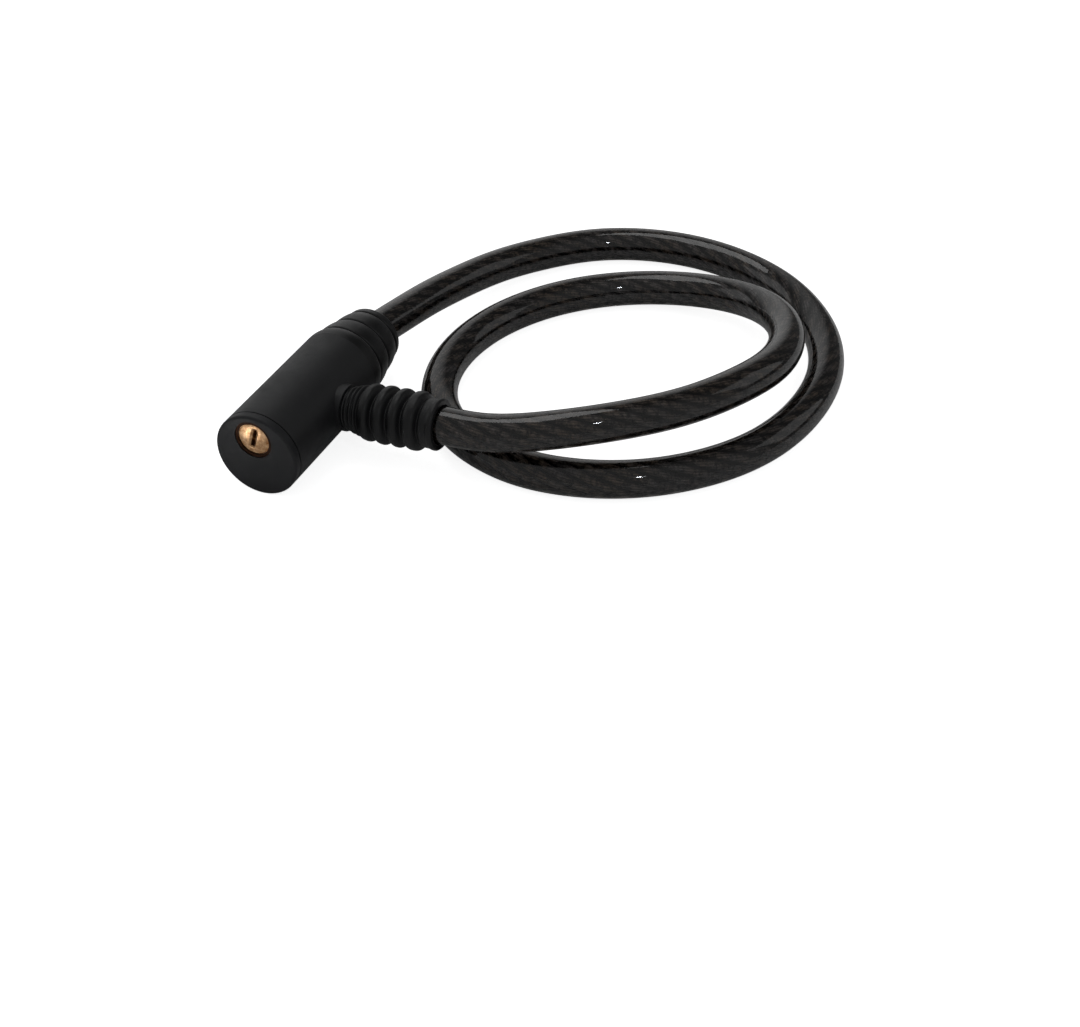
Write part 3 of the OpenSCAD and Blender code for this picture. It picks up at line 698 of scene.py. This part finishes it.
def closed_profile(along, radius, bore):
    """The outer line, and back along the bore, as one closed outline."""
    steps = max(2, int(abs(radius[-1] - bore) / PROFILE_STEP))
    back = [(along[-1], r) for r in np.linspace(radius[-1], bore, steps)[1:]]
    front = [(along[0], r) for r in np.linspace(bore, radius[0], steps)[:-1]]
    return list(zip(along, radius)) + back + front


def turned(name, origin, direction, profile, material):
    """A piece turned about an axis from a closed outline of places and radii."""
    direction = np.asarray(direction, float)
    side = unit(np.cross(direction, (0, 0, 1)))
    out = spokes(side[None], np.cross(side, direction)[None], BOOT_SIDES)[0]
    p = np.asarray(profile)
    run = unit(np.roll(p, -1, axis=0) - np.roll(p, 1, axis=0))
    points = origin + p[:, 0, None, None] * direction + p[:, 1, None, None] * out
    normals = -run[:, 1, None, None] * direction + run[:, 0, None, None] * out
    faces = ring_faces(len(p), BOOT_SIDES, closed=True)
    return mesh_piece(name, points.reshape(-1, 3), faces, material, normals.reshape(-1, 3))


def make_plug_boot(materials):
    along = np.arange(PLUG_COVER_S, BOOT_END_S + PROFILE_STEP / 2, PROFILE_STEP)
    radius = np.interp(along, *zip(*PLUG_LINE))
    padded = np.pad(radius, SMOOTH_OVER // 2, "edge")
    radius = np.convolve(padded, np.ones(SMOOTH_OVER) / SMOOTH_OVER, "valid")
    radius += crowned(along, PLUG_RIBS, PLUG_CROWN) - groove_depth(along, PLUG_GROOVES)
    profile = closed_profile(along, radius, PLUG_BORE_R)
    boot = turned(
        "plug_boot_rubber", placed((0, 0, BARREL_R)),
        (math.cos(PLUG_RISE), 0, math.sin(PLUG_RISE)), profile, materials["boot_black"],
    )
    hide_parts("plug_boot")
    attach(boot, "plug")


def make_tail_boot(materials):
    last = TAIL_END_Y - TAIL_EDGE
    along = np.arange(TAIL_Y, last, PROFILE_STEP)
    slope = (BARREL_R - TAIL_END_R) / (last - TAIL_Y - TAIL_STRAIGHT)
    radius = BARREL_R - slope * np.maximum(along - TAIL_Y - TAIL_STRAIGHT, 0)
    ends = [TAIL_Y + RINGS_FROM] + [groove[0] for groove in TAIL_GROOVES]
    rings = list(zip(ends, ends[1:]))
    radius += crowned(along, rings, TAIL_CROWN) - groove_depth(along, TAIL_GROOVES)
    radius = np.minimum(radius, BARREL_R)
    turn = np.linspace(0, math.pi / 2, EDGE_STEPS)
    along = np.concatenate([along, last + TAIL_EDGE * np.sin(turn)])
    radius = np.concatenate([radius, TAIL_END_R - TAIL_EDGE * (1 - np.cos(turn))])
    profile = closed_profile(along, radius, CABLE_R + BORE_GAP)
    boot = turned(
        "tail_boot_rubber", placed((0, 0, BARREL_R)), (0, 1, 0), profile, materials["boot_black"],
    )
    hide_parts("tail_boot")
    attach(boot, "lock_body")


# ---- The core's face ----
# It stands behind the cap's face. Its slot leans, and is off its middle
CORE_FACE_Y = FACE_Y + 0.0006
CORE_FACE_R = 0.00526
SLOT_LEAN = math.radians(19)
SLOT_HALF_W = 0.00066
SLOT_HALF_H = 0.00321
SLOT_SHIFT = 0.0005
SLOT_BEVEL = 0.0007
FACE_LIFT = 0.00002
FACE_DOME = 0.00045
FACE_SKIRT = 0.00005
RIM_W = 0.00035
FACE_SIDES = 144
FACE_RINGS = 30
RINGS_DRAWN = 0.12
NOT_ZERO = 1e-9


def face_height(radius, from_slot):
    """How far the face stands before the core's end: domed, bevelled at its rim and its slot."""
    dome = FACE_LIFT + FACE_DOME * (1 - (radius / CORE_FACE_R) ** 2)
    bevel = np.clip(from_slot / SLOT_BEVEL, 0, 1)
    rim = np.clip((CORE_FACE_R - radius) / RIM_W, 0, 1)
    fall = np.sqrt(np.clip(rim * (2 - rim), 0, 1)) * (bevel * (2 - bevel))
    return fall * (dome + FACE_SKIRT) - FACE_SKIRT


def make_core_face(materials):
    """The domed, turned face of the core, in rings from its key slot out to its rim."""
    tilt = SLOT_LEAN - PLUG_RISE
    high = np.array((math.sin(tilt), 0, math.cos(tilt)))
    wide = np.array((math.cos(tilt), 0, -math.sin(tilt)))
    corner = math.atan2(SLOT_HALF_W, SLOT_HALF_H)
    corners = [corner, math.pi - corner, math.pi + corner, 2 * math.pi - corner]
    even = np.linspace(0, 2 * math.pi, FACE_SIDES, endpoint=False)
    angle = np.unique(np.concatenate([even, corners]))
    way = np.stack([np.sin(angle), np.cos(angle)], axis=1)
    slot_half = (SLOT_HALF_W, SLOT_HALF_H)
    reach = np.min(slot_half / np.maximum(np.abs(way), NOT_ZERO), axis=1)
    inner = way * reach[:, None] + (0, SLOT_SHIFT)
    outer = way * CORE_FACE_R
    part = np.linspace(0, 1, FACE_RINGS)
    part -= RINGS_DRAWN * np.sin(2 * math.pi * part)
    flat = inner[None] + part[:, None, None] * (outer - inner)[None]
    radius = np.linalg.norm(flat, axis=2)
    beside, above = np.moveaxis(np.maximum(np.abs(flat - (0, SLOT_SHIFT)) - slot_half, 0), 2, 0)
    height = face_height(radius, np.hypot(beside, above))
    centre = placed((
        -CORE_UP * math.sin(PLUG_RISE), CORE_FACE_Y, BARREL_R + CORE_UP * math.cos(PLUG_RISE),
    ))
    points = centre + flat[..., :1] * wide + flat[..., 1:] * high
    points[..., 1] -= height
    faces = ring_faces(FACE_RINGS, len(angle))
    piece = mesh_piece("core_face", points.reshape(-1, 3), faces, materials["core_brass"])
    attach(piece, "core")


# ---- Floor ----
FLOOR_HALF = 4.0
FLOOR_COLOR = (0.88, 0.88, 0.88)
# To the camera alone the floor glows by this much, which makes it white in the picture
FLOOR_GLOW = 0.85


def make_floor():
    s = Shader("floor_white")
    s.put(color=FLOOR_COLOR, rough=0.6, specular=0.2)
    seen = s.node("LightPath").outputs["Is Camera Ray"]
    s.base.inputs["Emission Color"].default_value = (1, 1, 1, 1)
    s.join(s.math("MULTIPLY", seen, FLOOR_GLOW), s.base.inputs["Emission Strength"])
    corners = [(x * FLOOR_HALF, y * FLOOR_HALF, 0) for x, y in ((-1, -1), (1, -1), (1, 1), (-1, 1))]
    floor = mesh_piece("floor", corners, [(0, 1, 2, 3)], s.material)


# ---- The solids that stay in sight, by the slot of their material ----
NODE_SLOTS = {
    "soft_black": ["outer_sleeve"],
    "cap_black": ["end_cap"],
    "die_cast": ["lock_housing", "latch_cover"],
    "core_brass": ["key_core"],
    "shell_brass": ["cylinder_shell"],
    "wafer_brass": ["wafer_1", "wafer_2", "wafer_3", "wafer_4", "wafer_5"],
    "hard_steel": [
        "plug_pin", "latch_bolt", "shell_pin", "ferrule_pin", "tail_ferrule", "tail_cam",
        "cam_screw",
    ],
    "spring_steel": ["latch_spring", "wafer_springs"],
    "seal_rubber": ["plug_seal"],
}


def dress_nodes(materials):
    """Gives every carried-over CAD solid the material of its slot."""
    for slot, names in NODE_SLOTS.items():
        for name in names:
            mesh = NODES[name].data
            mesh.materials.clear()
            mesh.materials.append(materials[slot])


make_camera()
make_world()
make_lights()
bpy.context.scene.view_settings.view_transform = "Standard"
materials = make_materials()
make_floor()
make_cable(materials)
make_plug_boot(materials)
make_tail_boot(materials)
make_core_face(materials)
dress_nodes(materials)
